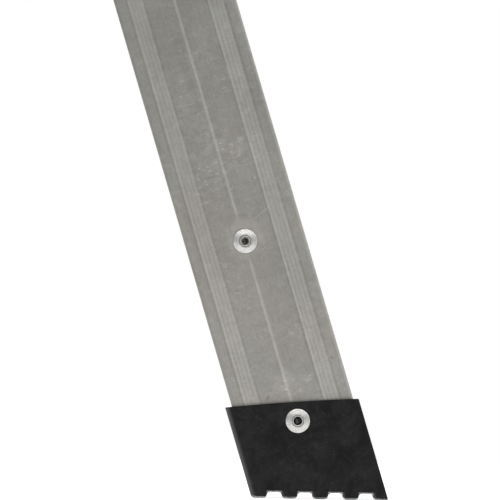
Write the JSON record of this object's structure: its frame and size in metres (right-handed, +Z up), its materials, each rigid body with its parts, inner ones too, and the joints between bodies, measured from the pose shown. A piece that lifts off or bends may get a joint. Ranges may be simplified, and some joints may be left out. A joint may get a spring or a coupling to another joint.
{
  "type": "extension ladder",
  "caption": "Two-section push-up extension ladder of box-section aluminium, leaning at its working angle, with riveted rubber boots and sprung rung stays.",
  "frame": {"origin": "on the floor, under the middle of the bounding box of the closed ladder, leaning 17.5 degrees from the vertical", "axes": "+X runs along the rungs to the climber's right, +Y points from the climber to the wall, +Z is up"},
  "size_m": [0.4116, 0.6594, 1.9037],
  "materials": {
    "mill_aluminium": "extruded mill finish, satin, finely scratched along and across",
    "rivet_aluminium": "bright turned aluminium",
    "boot_rubber": "moulded, matt, faintly dusty",
    "black_plastic": "moulded, fine grain",
    "zinc_steel": "zinc plated, satin",
    "spring_steel": "drawn wire, lightly oiled"
  },
  "bodies": {
    "base_section": {"base_stile_left": "mill_aluminium", "base_stile_right": "mill_aluminium", "base_rung_1": "mill_aluminium", "base_rung_2": "mill_aluminium", "base_rung_3": "mill_aluminium", "base_rung_4": "mill_aluminium", "base_rung_5": "mill_aluminium", "base_rung_6": "mill_aluminium", "base_rung_7": "mill_aluminium", "foot_boot_left": "boot_rubber", "foot_boot_right": "boot_rubber", "rung_rivet_left_1": "rivet_aluminium", "rung_rivet_left_2": "rivet_aluminium", "rung_rivet_left_3": "rivet_aluminium", "rung_rivet_left_4": "rivet_aluminium", "rung_rivet_left_5": "rivet_aluminium", "rung_rivet_left_6": "rivet_aluminium", "rung_rivet_left_7": "rivet_aluminium", "rung_rivet_right_1": "rivet_aluminium", "rung_rivet_right_2": "rivet_aluminium", "rung_rivet_right_3": "rivet_aluminium", "rung_rivet_right_4": "rivet_aluminium", "rung_rivet_right_5": "rivet_aluminium", "rung_rivet_right_6": "rivet_aluminium", "rung_rivet_right_7": "rivet_aluminium", "foot_rivet_outer_left": "rivet_aluminium", "foot_rivet_outer_right": "rivet_aluminium", "foot_rivet_inner_left": "rivet_aluminium", "foot_rivet_inner_right": "rivet_aluminium", "base_top_cap_left": "black_plastic", "base_top_cap_right": "black_plastic", "base_guide_left": "zinc_steel", "base_guide_right": "zinc_steel", "travel_stop_left": "mill_aluminium", "travel_stop_right": "mill_aluminium"},
    "fly_section": {"fly_stile_left": "mill_aluminium", "fly_stile_right": "mill_aluminium", "fly_rung_1": "mill_aluminium", "fly_rung_2": "mill_aluminium", "fly_rung_3": "mill_aluminium", "fly_rung_4": "mill_aluminium", "fly_rung_5": "mill_aluminium", "fly_rung_6": "mill_aluminium", "fly_top_cap_left": "black_plastic", "fly_top_cap_right": "black_plastic", "fly_bottom_cap_left": "black_plastic", "fly_bottom_cap_right": "black_plastic", "fly_guide_left": "zinc_steel", "fly_guide_right": "zinc_steel", "stay_channel_left": "zinc_steel", "stay_channel_right": "zinc_steel", "stay_pin_left": "zinc_steel", "stay_pin_right": "zinc_steel", "stay_spring_left": "spring_steel", "stay_spring_right": "spring_steel"},
    "stay_left": {"rung_stay_left": "zinc_steel"},
    "stay_right": {"rung_stay_right": "zinc_steel"}
  },
  "joints": [
    {"name": "fly_slide", "type": "slide", "parent": "base_section", "child": "fly_section", "axis": [0, 0.3007, 0.9537], "range_m": [0, 0.84]},
    {"name": "stay_left_swing", "type": "hinge", "parent": "fly_section", "child": "stay_left", "pos_m": [-0.168, -0.17063, 0.52516], "axis": [-1, 0, 0], "range_deg": [0, 13], "stiffness_Nm_per_rad": 0.2, "springref_deg": -85.94},
    {"name": "stay_right_swing", "type": "hinge", "parent": "fly_section", "child": "stay_right", "pos_m": [0.168, -0.17063, 0.52516], "axis": [-1, 0, 0], "range_deg": [0, 13], "stiffness_Nm_per_rad": 0.2, "springref_deg": -85.94}
  ]
}
